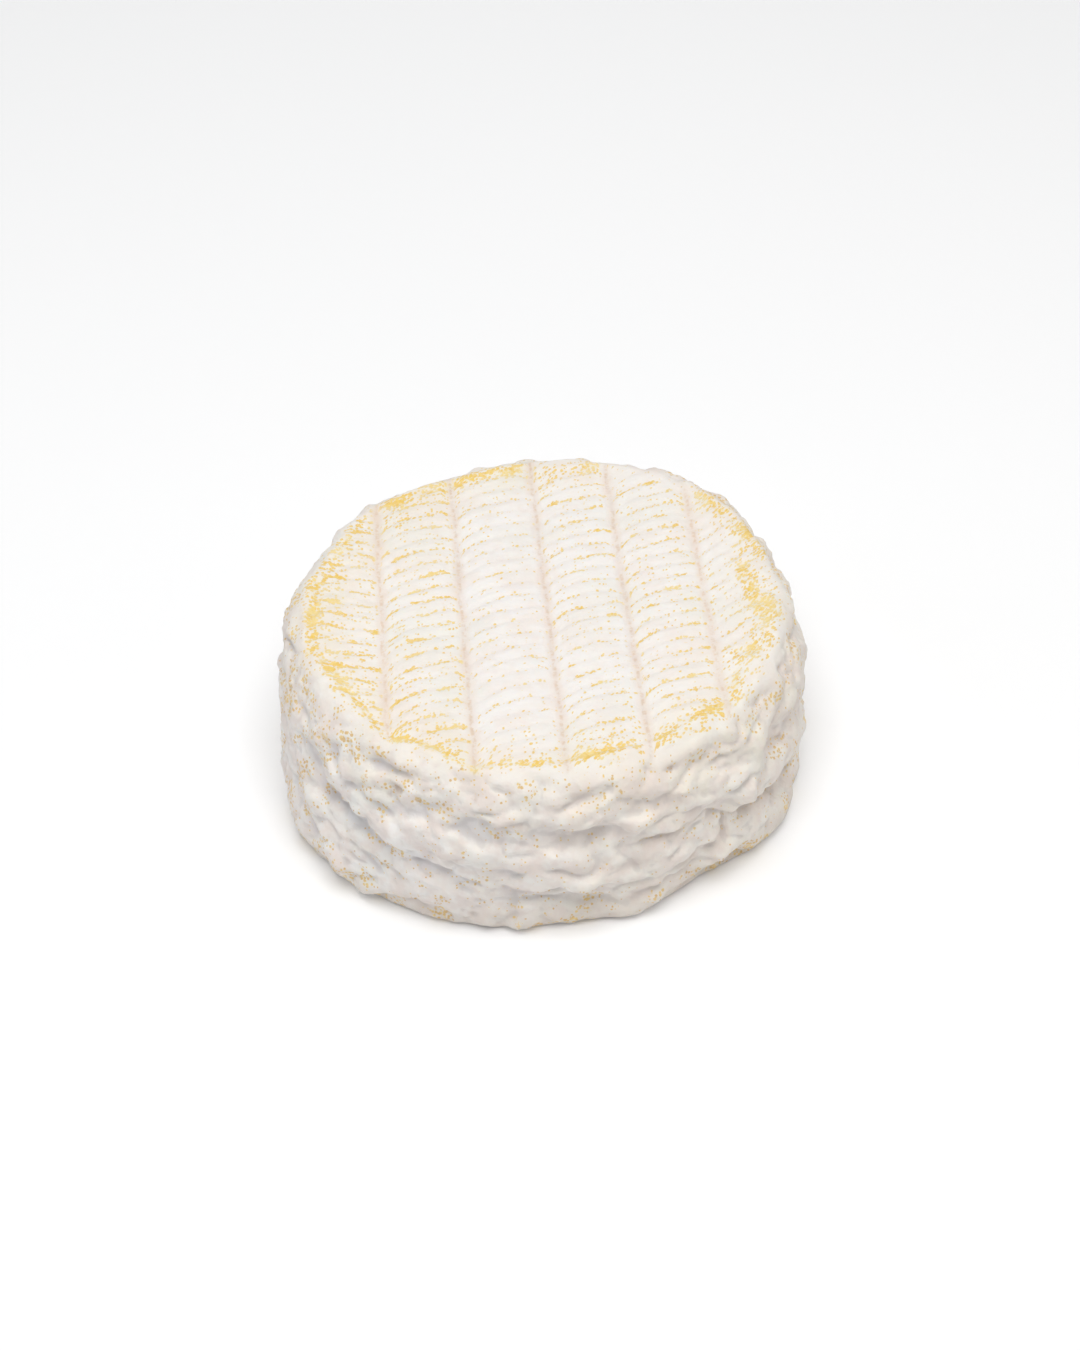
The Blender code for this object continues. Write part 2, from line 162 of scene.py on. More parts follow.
# Creases of the side: start and end as (angle, height), arch, depth, half width and lip.
CREASES = (
    ((-41, 33.6), (-22, 35.0), 0.5, 0.3, 1.4, 0.2),
    ((-34, 31.6), (-29, 31.2), 0.5, 1.1, 1.2, 0.4),
    ((-26, 28.8), (-20, 29.4), 0.4, 0.4, 1.6, 0.3),
    ((-48, 34.0), (-48, 28.0), 0.2, 0.3, 1.4, 0.2),
    ((-44, 27.0), (-32, 26.0), 0.3, 0.3, 1.3, 0.2),
    ((-49, 21.4), (-29, 15.8), 0.6, 0.4, 1.4, 0.2),
    ((-57, 14.8), (-49, 11.0), -0.6, 0.3, 1.3, 0.2),
    ((-41, 13.6), (-28, 10.6), 0.5, 0.5, 0.9, 0.2),
    ((-29, 15.6), (-11, 12.2), 1.8, 0.5, 1.0, 0.2),
    ((-11, 12.6), (4, 11.8), 0.5, 0.4, 1.0, 0.2),
    ((22, 6.8), (41, 7.0), 2.2, 0.6, 0.9, 0.3),
    ((-14, 18.2), (-3, 16.8), 0.3, 0.3, 1.1, 0.2),
    ((12, 32.6), (15, 35.4), 0.2, 0.4, 1.2, 0.3),
    ((17, 19.8), (37, 21.2), -0.2, 1.0, 1.0, 0.4),
    ((36, 21.2), (56, 13.4), -1.0, 1.2, 1.1, 0.5),
    ((54, 13.8), (73, 11.2), -0.5, 1.0, 1.1, 0.3),
    ((42, 18.6), (42, 9.8), 0.4, 1.0, 0.9, 0.3),
    ((26, 10.4), (41, 13.0), 0.5, 0.7, 0.9, 0.3),
    ((20, 13.2), (25, 13.0), -0.6, 0.5, 0.7, 0.2),
    ((11.7, 15.2), (11.7, 12.6), 0.1, 0.3, 0.5, 0.0),
    ((-6, 10.4), (-6, 2.5), 0.3, 0.4, 0.8, 0.3),
    ((38, 31.2), (44, 31.0), 0.4, 0.6, 0.7, 0.2),
    ((33, 27.4), (38, 26.0), 0.2, 0.4, 0.9, 0.3),
    ((47, 31.5), (57, 33.5), 0.3, 0.5, 1.1, 0.3),
    ((57, 28.0), (68, 30.4), 0.4, 0.5, 1.1, 0.3),
    ((58, 24.5), (70, 19.0), 0.6, 0.5, 1.1, 0.3),
    ((68, 36.2), (79, 33.4), 0.2, 0.5, 1.1, 0.3),
)
# A crease fades out over this length, is steeper above its line, and has its lip this many half
# widths above it.
CREASE_FADE = 1.5
CREASE_STEEPNESS = 0.55
LIP_PLACE, LIP_WIDTH = 1.3, 0.8

# The rest of the side has creases of the same sizes, drawn from one seed between these limits.
BACK_SEED = 41
BACK_START, BACK_END = 80.0, 286.0
BACK_CREASES = 34
BACK_ROWS, BACK_LOWEST, BACK_ROW_STEP, BACK_SCATTER = 4, 4.0, 8.0, (0.0, 7.0)
BACK_RUN, BACK_RISE, BACK_ARCH = (6.0, 24.0), (-5.0, 3.0), (-0.8, 2.2)
BACK_DEPTH, BACK_WIDTH, BACK_LIP = (0.2, 0.8), (0.7, 1.1), 0.35

# Brown and yellow stains of the side: angle, height, half width and strength.
BROWN_STAINS = (
    (-30.5, 31.6, 1.5, 1.0), (-32.6, 29.6, 1.0, 0.6), (28.3, 34.7, 0.8, 0.9), (33.6, 35.7, 0.7, 0.8),
    (65.4, 22.4, 1.8, 0.5), (-14.1, 34.4, 1.0, 0.5), (-24.0, 24.5, 2.0, 0.35), (12.0, 16.5, 1.2, 0.4),
)
YELLOW_STAINS = (
    (-6.4, 7.0, 1.2, 0.9), (-5.5, 3.6, 1.4, 0.7), (0.8, 5.5, 2.0, 0.5), (-52.0, 33.0, 2.4, 0.8),
    (-56.0, 31.0, 1.8, 0.6), (-11.0, 26.4, 1.6, 0.7), (-5.0, 27.4, 1.4, 0.7), (41.5, 1.6, 2.0, 1.0),
    (45.0, 4.0, 2.4, 0.8), (55.0, 4.0, 2.6, 0.7), (62.0, 14.0, 3.0, 0.6), (70.0, 12.0, 3.0, 0.7),
    (12.0, 32.0, 1.6, 0.5), (16.0, 33.8, 1.2, 0.6), (24.0, 3.0, 2.0, 0.6), (-48.0, 4.0, 3.0, 0.5),
    (-60.0, 7.0, 3.0, 0.5), (84.5, 12.5, 1.3, 1.4), (-38.0, 30.0, 2.2, 0.7), (-26.0, 30.6, 1.8, 0.8),
    (-20.0, 31.2, 1.4, 0.7),
)

# Golden mould along the rim and the back of the top: start, end, half width and strength.
GOLD_STROKES = (
    ((-46.7, -15.0), (-46.9, 7.5), 1.5, 0.9),
    ((-45.5, 8.0), (-38.5, 29.0), 1.3, 0.55),
    ((-33.0, 33.5), (-20.5, 41.0), 1.6, 0.85),
    ((-19.5, 41.2), (-5.5, 47.0), 1.7, 0.8),
    ((-1.0, 44.5), (11.0, 48.0), 1.8, 0.55),
    ((-46.3, -12.5), (-38.5, -27.0), 1.2, 0.8),
    ((-38.3, -26.8), (-31.3, -38.5), 1.0, 0.65),
    ((-31.3, -39.2), (-21.0, -43.0), 1.1, 0.85),
    ((-21.0, -43.5), (-13.0, -49.0), 1.1, 0.65),
    ((-12.0, -48.0), (-1.0, -47.4), 1.3, 0.65),
    ((1.0, -47.0), (6.0, -45.8), 1.4, 0.55),
    ((7.0, -45.5), (17.5, -42.0), 1.5, 0.85),
    ((21.5, -40.2), (34.5, -30.0), 1.5, 0.7),
    ((33.5, 37.0), (39.5, 29.0), 2.0, 0.6),
    ((41.5, 26.5), (44.5, 17.0), 2.6, 0.62),
    ((40.8, 13.5), (43.0, -1.0), 2.0, 0.6),
    ((45.0, 1.0), (44.5, -8.5), 2.8, 0.6),
    ((44.5, -10.5), (41.0, -15.5), 1.7, 0.7),
    ((38.8, -14.5), (37.0, -29.5), 1.4, 0.6),
)
CREAM_REACH = 8.0
# The small step along a stroke, as a lip and a dip: height, place outside the stroke and width.
STROKE_STEP = ((0.3, 1.6, 1.1), (-0.25, -0.3, 1.0))

# How many golden dots each band of ribs has, from left to right, and how far apart they lie.
BAND_DOTS = (1.25, 1.15, 0.6, 0.85, 0.95, 0.75)
TOP_DOTS = SIDE_DOTS = 0.75
TOP_DOT_SIZE, SIDE_DOT_SIZE = 0.38, 0.36
# How many specks the side has: all over and near the rim, and then in clusters all over, at both
# ends, low down, on the left and near the rim.
SPECKS, SPECKS_RIM = 0.04, 0.12
CLUSTERS, CLUSTERS_ENDS, CLUSTERS_LOW, CLUSTERS_LEFT, CLUSTERS_RIM = 0.12, 0.22, 0.6, 0.28, 0.15
CLUSTER_EDGE = (-0.1, 0.5)
# Rounds of evening out, after which the skin shows its small and its large hollows; the material
# paints shade into these hollows.
NEAR_ROUNDS, FAR_ROUNDS = 8, 60

# Colours of the rind, 0 to 255, as a picture editor shows them. The lilac, grey and low beige are
# painted shade, and the blush and the foot's brown are partly painted shade.
RIND_COLOURS = {
    "white": (241, 238, 235),
    "cool_white": (234, 235, 229),
    "blush_and_shade": (237, 226, 219),
    "rosy": (228, 214, 207),
    "straw": (236, 222, 194),
    "grey_shade": (206, 200, 197),
    "lilac_shade": (206, 204, 212),
    "beige": (228, 205, 189),
    "groove_brown": (218, 186, 150),
    "low_shade_beige": (212, 201, 190),
    "foot_line_and_shade": (146, 118, 96),
    "stain_brown": (166, 132, 104),
    "golden": (240, 208, 114),
    "deep_gold": (232, 190, 84),
    "pale_gold": (240, 224, 172),
    "yellow_ochre": (236, 204, 116),
    "brown_ochre": (218, 177, 92),
}
# Noise that colours the rind: spacing, detail and roughness.
GRAIN = {
    "broad": (14.0, 2.0, 0.5),
    "mottle": (7.0, 3.0, 0.6),
    "rosy": (5.0, 3.0, 0.6),
    "middle": (4.0, 3.0, 0.5),
    "ochre": (1.3, 1.0, 0.5),
    "flakes": (1.2, 3.0, 0.6),
    "ragged": (1.1, 2.0, 0.5),
    "fine": (0.9, 3.0, 0.6),
    "fluff": (0.35, 3.0, 0.65),
    "dot_edge": (0.35, 1.0, 0.5),
}
# Noise that follows the ribs: spacing across the grooves and along them, detail and roughness.
RIB_GRAIN = {
    "clusters": (5.0, 3.0, 2.0, 0.5),
    "streaks": (20.0 / 9.0, 0.6, 2.0, 0.5),
    "islands": (4.0 / 3.0, 0.6, 2.0, 0.6),
}
# Where colours of the rind begin and are whole: distances from a groove, heights above the board
# for the painted shade low on the side and the foot's line, places from right to left, and depths
# of the wide and fine hollows that get painted shade.
GROOVE_TINT, GROOVE_LINE, BESIDE_GROOVE = (1.8, 0.2), (0.6, 0.1), (0.3, 1.0)
LOW_SHADE, FOOT_LINE_AND_SHADE = (10.0, 0.0), (0.9, 0.1)
LEFTWARD = (30.0, -30.0)
WIDE_HOLLOW_SHADE, FINE_HOLLOW_SHADE = (-0.05, 0.5), (0.02, 0.18)
# How ragged the ribs are, in ribs, how ragged the dots are, and how soft a dot's edge is.
RIB_RAGGED, DOT_RAGGED = 0.34, 0.22
DOT_SOFTNESS = (-0.04, 0.05)
# What each point of the skin carries for the material.
SKIN_VALUES = (
    "top_face", "rack", "across", "row", "dot_share", "gold", "cream", "crease", "speck", "brown",
    "yellow", "fine_hollow", "wide_hollow",
)

# The board and the light, in metres and watts: name, place, width and height, power and tint.
FLOOR_SIZE = 6.0
FLOOR_WHITE = (0.88, 0.885, 0.895, 1.0)
FLOOR_GLOW, FLOOR_GLOW_STRENGTH = (0.95, 0.975, 1.0, 1.0), 0.12
SKY_WHITE, SKY_STRENGTH = (1.0, 1.0, 1.0, 1.0), 0.18
LAMPS = (
    ("overhead", (0.0, -0.27, 1.07), (0.9, 0.9), 11.2, (1.0, 0.99, 0.975)),
    ("left_fill", (-1.2, -0.2, 0.6), (0.8, 0.8), 1.8, (0.95, 0.975, 1.0)),
    ("right_fill", (1.2, -0.2, 0.6), (0.8, 0.8), 1.6, (1.0, 0.96, 0.9)),
    ("back_wash", (0.0, 0.75, 0.5), (0.8, 0.4), 0.6, (1.0, 1.0, 1.0)),
)
LAMP_AIM = (0.0, 0.0, 0.02)


def smooth_step(low, high, value):
    """0 below low, 1 above high, and an even turn between them."""
    t = np.clip((value - low) / (high - low), 0.0, 1.0)
    return t * t * (3.0 - 2.0 * t)


def bell(value, width):
    """1 where a value is 0, falling away evenly on both sides."""
    return np.exp(-(value / width) ** 2)


def angle_between(angle, middle):
    """How far an angle is round from another, from -180 to 180 degrees."""
    return (angle - middle + 180.0) % 360.0 - 180.0


def deselect_all():
    """Leaves nothing selected."""
    for other in bpy.context.selected_objects:
        other.select_set(False)


def activate(piece):
    """Makes one object the only selected and active one."""
    deselect_all()
    piece.select_set(True)
    bpy.context.view_layer.objects.active = piece


def read_points(mesh):
    """A mesh's points, in millimetres."""
    flat = np.zeros(len(mesh.vertices) * 3, np.float32)
    mesh.vertices.foreach_get("co", flat)
    return flat.reshape(-1, 3).astype(float) / MM


def write_points(mesh, points):
    """Puts points in millimetres into a mesh."""
    mesh.vertices.foreach_set("co", (points * MM).astype(np.float32).ravel())
    mesh.update()


def read_normals(mesh):
    """Unit normals of a mesh's points."""
    flat = np.zeros(len(mesh.vertices) * 3, np.float32)
    mesh.vertices.foreach_get("normal", flat)
    return flat.reshape(-1, 3).astype(float)


def read_edges(mesh):
    """The two points of each edge of a mesh."""
    flat = np.zeros(len(mesh.edges) * 2, np.int32)
    mesh.edges.foreach_get("vertices", flat)
    return flat.reshape(-1, 2)


def set_attribute(mesh, name, values):
    """Stores one number for each point."""
    attribute = mesh.attributes.new(name, "FLOAT", "POINT")
    attribute.data.foreach_set("value", values.astype(np.float32))


def subdivide_along(piece, axis, cuts):
    """Cuts a box-like piece across all its edges that run along one axis."""
    mesh = piece.data
    points = read_points(mesh)
    ends = read_edges(mesh)
    run = np.abs(points[ends[:, 0]] - points[ends[:, 1]])
    along = run[:, axis] > 0.5 * run.sum(axis=1)
    chosen = np.zeros(len(mesh.vertices), bool)
    chosen[ends[along].ravel()] = True
    mesh.vertices.foreach_set("select", chosen)
    mesh.edges.foreach_set("select", along)
    mesh.polygons.foreach_set("select", np.zeros(len(mesh.polygons), bool))
    bpy.context.tool_settings.mesh_select_mode = (False, True, False)
    bpy.ops.object.mode_set(mode="EDIT")
    bpy.ops.mesh.subdivide(number_cuts=cuts)
    bpy.ops.object.mode_set(mode="OBJECT")


def make_guide():
    """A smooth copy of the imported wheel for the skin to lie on."""
    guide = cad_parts[NODE].copy()
    guide.data = guide.data.copy()
    guide.parent = None
    bpy.context.scene.collection.objects.link(guide)
    activate(guide)
    bpy.ops.object.mode_set(mode="EDIT")
    bpy.ops.mesh.select_all(action="SELECT")
    bpy.ops.mesh.remove_doubles(threshold=WELD)
    bpy.ops.object.mode_set(mode="OBJECT")
    mesh = guide.data
    flat_edges = read_points(mesh)[read_edges(mesh)][:, :, 2].max(axis=1) < UNDERSIDE
    crease = mesh.attributes.new("crease_edge", "FLOAT", "EDGE")
    crease.data.foreach_set("value", flat_edges.astype(np.float32))
    smooth = guide.modifiers.new("smooth", "SUBSURF")
    smooth.levels = smooth.render_levels = 2
    bpy.ops.object.modifier_apply(modifier=smooth.name)
    return guide


def side_profile(share):
    """Inset and height of the side at a share of the way up its profile."""
    turn = np.linspace(0.0, math.pi / 2.0, PROFILE_STEPS)
    foot = FOOT_INSET * (1.0 - np.cos(turn) ** (2.0 / FOOT_SHARPNESS))
    drop = WIDEST_HEIGHT * np.sin(turn) ** (2.0 / FOOT_SHARPNESS)
    shoulder = SHOULDER_INSET * (1.0 - np.cos(turn) ** (2.0 / SHOULDER_SHARPNESS))
    rise = (HEIGHT - WIDEST_HEIGHT) * np.sin(turn) ** (2.0 / SHOULDER_SHARPNESS)
    inset = np.concatenate([foot[::-1], shoulder[1:]])
    height = np.concatenate([WIDEST_HEIGHT - drop[::-1], WIDEST_HEIGHT + rise[1:]])
    run = np.concatenate([[0.0], np.cumsum(np.hypot(np.diff(inset), np.diff(height)))])
    at = share * run[-1]
    return np.interp(at, run, inset), np.interp(at, run, height)


def round_over(points):
    """Turns the points of a cube, from -1 to 1 each way, into those of a plain wheel."""
    x, y, z = points.T
    reach = np.maximum(np.abs(x), np.abs(y))
    wide = np.abs(x) >= np.abs(y)
    safe = np.where(reach > 0.0, reach, 1.0)
    lean = math.pi / 4.0 * np.where(wide, y * np.sign(x), x * np.sign(y)) / safe
    angle = np.where(wide, lean + np.where(x < 0.0, math.pi, 0.0),
                     math.pi / 2.0 - lean + np.where(y < 0.0, math.pi, 0.0))
    inset, height = side_profile((z + 1.0) / 2.0)
    share = np.where(reach < 1.0, reach, 1.0)
    across = (HALF_WIDTH - inset) * share
    deep = (HALF_DEPTH - inset) * share
    return np.stack([across * np.cos(angle), deep * np.sin(angle), height], axis=1), inset


def cast(tree, inner, outer):
    """Where the line from an inner to an outer point last leaves the guide."""
    way = (outer - inner) / np.linalg.norm(outer - inner)
    hit = tree.ray_cast(Vector(inner + way * CAST_START) * MM, Vector(-way))[0]
    return outer if hit is None else np.array(hit) / MM


def foot_stretch(tree):
    """How much wider the guide's foot is than a plain wheel's, and the turns where it is read."""
    turns = np.radians(np.arange(0.0, 360.0, FOOT_STEP))
    ways = np.stack([np.cos(turns), np.sin(turns)], axis=1)
    middle = np.array([0.0, 0.0, UNDERSIDE])
    foot = [np.hypot(*cast(tree, middle, np.array([*way, UNDERSIDE]))[:2]) for way in ways]
    half_foot = np.array([HALF_WIDTH - FOOT_INSET, HALF_DEPTH - FOOT_INSET])
    plain = 1.0 / np.hypot(*(ways / half_foot).T)
    return turns, np.array(foot) / plain


def wrap(guide, points):
    """Moves a plain wheel's points onto the guide."""
    tree = BVHTree.FromObject(guide, bpy.context.evaluated_depsgraph_get())
    turns, stretch = foot_stretch(tree)
    wrapped = points.copy()
    for index, point in enumerate(points):
        if point[2] < UNDERSIDE:
            turn = math.atan2(point[1], point[0]) % (2.0 * math.pi)
            wrapped[index, :2] *= np.interp(turn, turns, stretch, period=2.0 * math.pi)
        else:
            radius = math.hypot(point[0], point[1])
            inner = point * min(1.0, CORE_RADIUS / max(radius, 1e-6))
            inner[2] = min(point[2], CORE_HEIGHT)
            wrapped[index] = cast(tree, inner, point)
    return wrapped


def make_skin():
    """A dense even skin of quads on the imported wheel's form, and its points' insets."""
    guide = make_guide()
    deselect_all()
    bpy.ops.mesh.primitive_cube_add(size=2.0 * MM)
    skin = bpy.context.active_object
    skin.name = skin.data.name = "white_rind"
    activate(skin)
    subdivide_along(skin, 2, SIDE_QUADS - 1)
    for axis in (0, 1):
        subdivide_along(skin, axis, TOP_QUADS // 2 - 1)
        subdivide_along(skin, axis, 1)
    points, inset = round_over(read_points(skin.data))
    write_points(skin.data, wrap(guide, points))
    bpy.data.objects.remove(guide, do_unlink=True)
    skin.data.shade_smooth()
    return skin, inset


def read_noise(points, spacing, layers, place):
    """Noise of about -1 to 1 in one or more layers, each finer and fainter than the last."""
    places = points / np.array(spacing) + place
    if layers == 1:
        values = [noise.noise(spot) for spot in places.tolist()]
    else:
        values = [noise.fractal(spot, LAYER_FALL, LAYER_FINENESS, layers) for spot in places.tolist()]
    return np.array(values)


def waves_at(points, name):
    """Even ups and downs of one kind of relief."""
    height, spacing, layers, place = RELIEF[name]
    return height * read_noise(points, spacing, layers, place)


def pillows_at(points, name):
    """Round swellings of one kind of relief, with narrow valleys between them."""
    height, spacing, layers, place = RELIEF[name]
    fold = read_noise(points, spacing, layers, place)
    return height * (2.0 * np.sqrt(fold ** 2 + VALLEY_ROUNDING) - 0.5)


def find_zones(points, inset):
    """Which parts of the wheel its points belong to, as shares from 0 to 1."""
    x, y, z = points.T
    angle = np.degrees(np.arctan2(x, -y))
    upper = smooth_step(UPPER_SHARES[0] * HEIGHT, UPPER_SHARES[1] * HEIGHT, z)
    facing_up = smooth_step(SHOULDER_INSET - TOP_FADE[0], SHOULDER_INSET - TOP_FADE[1], inset) * upper
    rack = smooth_step(SHOULDER_INSET - RACK_FADE[0], SHOULDER_INSET - RACK_FADE[1], inset) * upper
    facing_down = (z < UNDERSIDE) * 1.0
    right = smooth_step(*RIGHT_BEGINS, angle)
    return SimpleNamespace(
        angle=angle, level=z, upper=upper, facing_up=facing_up, rack=rack, facing_down=facing_down,
        side=1.0 - np.maximum(facing_up, facing_down),
        left=smooth_step(*LEFT_BEGINS, -angle) * smooth_step(*LEFT_ENDS, -angle),
        right=right, bold=smooth_step(*BOLD_BEGINS, angle) * (1.0 - right))


def rack_places(points):
    """Where points of the top lie on the rack's marks: across the grooves and along them."""
    x, y = points[:, 0], points[:, 1]
    turn = math.radians(GROOVE_TURN)
    across = x * math.cos(turn) + y * math.sin(turn)
    along = y * math.cos(turn) - x * math.sin(turn)
    middles = GROOVE_PITCH * np.arange(-SIDE_GROOVES, SIDE_GROOVES + 1)
    across = across - np.interp(across, middles, GROOVE_OFFSETS)
    across += waves_at(points, "groove_wander") + waves_at(points, "groove_shiver")
    along += waves_at(points, "rib_wander") + waves_at(points, "rib_shiver")
    return across, along


def rib_lift(band, share):
    """How far along the groove a rib has moved by the time it is a share across its band."""
    run = share * GROOVE_PITCH
    start = RIB_START * np.exp(-run / RIB_START_REACH)
    feather = start + RIB_RISE * run - RIB_DROP * smooth_step(*RIB_DROP_SHARES, share)
    last = np.where(band >= SIDE_GROOVES, LAST_BAND_RISE * run, feather)
    return np.where(band < -SIDE_GROOVES, -RIB_RISE * run, last)


def rack_marks(points):
    """Relief of the grooves and ribs, and each point's place across, its row and its band."""
    across, along = rack_places(points)
    bands = across / GROOVE_PITCH
    band = np.floor(bands)
    row = (along - rib_lift(band, bands - band)) / RIB_PITCH
    distance = GROOVE_PITCH * np.abs(bands - np.round(bands))
    flank = 1.0 - bell(distance, FLANK_START)
    patchy = np.clip(PATCH_MIDDLE + waves_at(points, "rib_patches"), 0.0, PATCH_MOST)
    valley = (0.5 - 0.5 * np.cos(2.0 * math.pi * row)) ** 2
    half_rib = (0.5 + 0.5 * np.cos(4.0 * math.pi * row)) ** 2
    marks = RIDGE_HEIGHT * bell(distance, RIDGE_WIDTH) - GROOVE_DEPTH * bell(distance, GROOVE_WIDTH)
    marks -= flank * (VALLEY_DEPTH * valley * patchy + HALF_RIB_DEPTH * half_rib * (PATCH_MOST - patchy))
    in_rack = np.stack([across, row * RIB_PITCH, np.full_like(row, STREAK_LEVEL)], axis=1)
    marks += flank * waves_at(in_rack, "rib_streaks")
    return marks, across, row, band


def rim_marks(points):
    """The rim's golden strokes on points of the top: gold, cream around it, and the lip outside it."""
    x, y = points[:, 0], points[:, 1]
    ragged = waves_at(points, "stroke_edge")
    uneven = 1.0 + waves_at(points, "stroke_strength")
    gold, cream, lip = np.zeros_like(x), np.zeros_like(x), np.zeros_like(x)
    nearest = np.full_like(x, np.inf)
    for start, end, width, strength in GOLD_STROKES:
        run = np.array(end) - np.array(start)
        share = np.clip(((x - start[0]) * run[0] + (y - start[1]) * run[1]) / (run @ run), 0.0, 1.0)
        foot_x, foot_y = start[0] + share * run[0], start[1] + share * run[1]
        away = np.hypot(x - foot_x, y - foot_y)
        outward = np.sign(np.hypot(x, y) - np.hypot(foot_x, foot_y)) * away
        gold = np.maximum(gold, strength * uneven * bell(outward + ragged, width))
        cream = np.maximum(cream, strength * bell(away, CREAM_REACH))
        step = sum(height * bell(outward - place, reach) for height, place, reach in STROKE_STEP)
        lip = np.where(away < nearest, strength * step, lip)
        nearest = np.minimum(nearest, away)
    return np.clip(gold, 0.0, 1.0), cream, lip


def stains_at(angle, level, stains):
    """How strongly a list of stains colours points of the side."""
    total = np.zeros_like(angle)
    for middle, height, width, strength in stains:
        across = angle_between(angle, middle) * math.radians(HALF_WIDTH)
        away = across ** 2 + (level - height) ** 2
        total = np.maximum(total, strength * np.exp(-away / width ** 2))
    return total


def crease_relief(angle, level, crease):
    """Push of one crease on the side's points, and how deep in its shade they lie."""
    start, end, arch, depth, width, lip = crease
    per_degree = math.radians(HALF_WIDTH)
    chord = np.array([(end[0] - start[0]) * per_degree, end[1] - start[1]])
    length = float(np.hypot(*chord))
    across = angle_between(angle, start[0]) * per_degree
    up = level - start[1]
    share = (across * chord[0] + up * chord[1]) / length ** 2
    beside = (up * chord[0] - across * chord[1]) / length
    inside = np.clip(share, 0.0, 1.0)
    beside = (beside - 4.0 * arch * inside * (1.0 - inside)) / width
    fade = CREASE_FADE / length
    taper = smooth_step(-fade, 2.0 * fade, share)
    taper = taper * (1.0 - smooth_step(1.0 - 2.0 * fade, 1.0 + fade, share))
    shade = taper * bell(beside, np.where(beside > 0.0, CREASE_STEEPNESS, 1.0))
    rise = taper * bell(beside - LIP_PLACE, LIP_WIDTH)
    return lip * rise - depth * shade, depth * shade


def back_creases():
    """Creases round the hidden part of the side."""
    draw = random.Random(BACK_SEED)
    creases = []
    for index in range(BACK_CREASES):
        angle = BACK_START + (BACK_END - BACK_START) * (index + draw.random()) / BACK_CREASES
        level = BACK_LOWEST + BACK_ROW_STEP * (index % BACK_ROWS) + draw.uniform(*BACK_SCATTER)
        end = (angle + draw.uniform(*BACK_RUN), level + draw.uniform(*BACK_RISE))
        depth = draw.uniform(*BACK_DEPTH)
        width = draw.uniform(*BACK_WIDTH)
        arch = draw.uniform(*BACK_ARCH)
        creases.append(((angle, level), end, arch, depth, width, BACK_LIP * depth))
    return creases


def side_marks(points, zone):
    """Relief of the side's folds, lumps, wrinkles and creases, and how deep in a crease points lie."""
    left, right, bold = zone.left, zone.right, zone.bold
    bends = [waves_at(points, name) for name in ("bend_x", "bend_y", "bend_z")]
    warped = points + np.stack(bends, axis=1)
    swell = waves_at(warped, "swells") + pillows_at(warped, "cushions")
    upright = pillows_at(warped, "upright_folds") + pillows_at(warped, "upright_lumps")
    relief = swell * (1.0 + SWELL_LEFT * left + SWELL_RIGHT * right + SWELL_BOLD * bold)
    relief += (upright * left * smooth_step(*UPRIGHT_BEGINS, zone.level)
               * smooth_step(*UPRIGHT_ENDS, zone.level))
    relief += (LUMP_HEIGHT + LUMP_RIGHT * right + LUMP_BOLD * bold) * pillows_at(warped, "lumps")
    relief += (WRINKLE_HEIGHT + WRINKLE_RIGHT * right) * waves_at(warped, "wrinkles")
    shade = np.zeros_like(relief)
    for crease in list(CREASES) + back_creases():
        push, dark = crease_relief(zone.angle, zone.level, crease)
        relief += push
        shade = np.maximum(shade, dark)
    ends = np.maximum(left, right * smooth_step(*RIGHT_OUTLINE_ENDS, zone.angle))
    relief -= ends * (END_INSET + END_PRESS * np.maximum(relief - END_LIMIT, 0.0))
    round_it = (zone.angle - HOLLOW_ANGLE) / HOLLOW_ROUND
    up_it = (zone.level - HOLLOW_LEVEL) / HOLLOW_UP
    relief -= HOLLOW_DEPTH * np.exp(-round_it ** 2 - up_it ** 2)
    return relief, shade


def soften(values, ends, rounds):
    """Evens points out over the mesh's edges."""
    count = np.bincount(ends.ravel(), minlength=len(values)).astype(float)
    for _ in range(rounds):
        total = np.zeros_like(values)
        np.add.at(total, ends[:, 0], values[ends[:, 1]])
        np.add.at(total, ends[:, 1], values[ends[:, 0]])
        values = 0.5 * values + 0.5 * (total / count[:, None])
    return values


def count_specks(points, zone):
    """How many golden specks the side has round each of its points."""
    clusters = smooth_step(*CLUSTER_EDGE, waves_at(points, "speck_clusters"))
    low = smooth_step(*LOW_SPECKS, zone.level)
    near_rim = smooth_step(*RIM_SPECKS, zone.level)
    ends = np.maximum(zone.left, zone.right)
    leftish = smooth_step(*SPECKLED_BEGINS, zone.angle) * smooth_step(*SPECKLED_ENDS, zone.angle)
    clustered = CLUSTERS + CLUSTERS_ENDS * ends + CLUSTERS_LOW * low
    clustered += CLUSTERS_LEFT * leftish + CLUSTERS_RIM * near_rim
    return SPECKS + SPECKS_RIM * near_rim + clusters * clustered


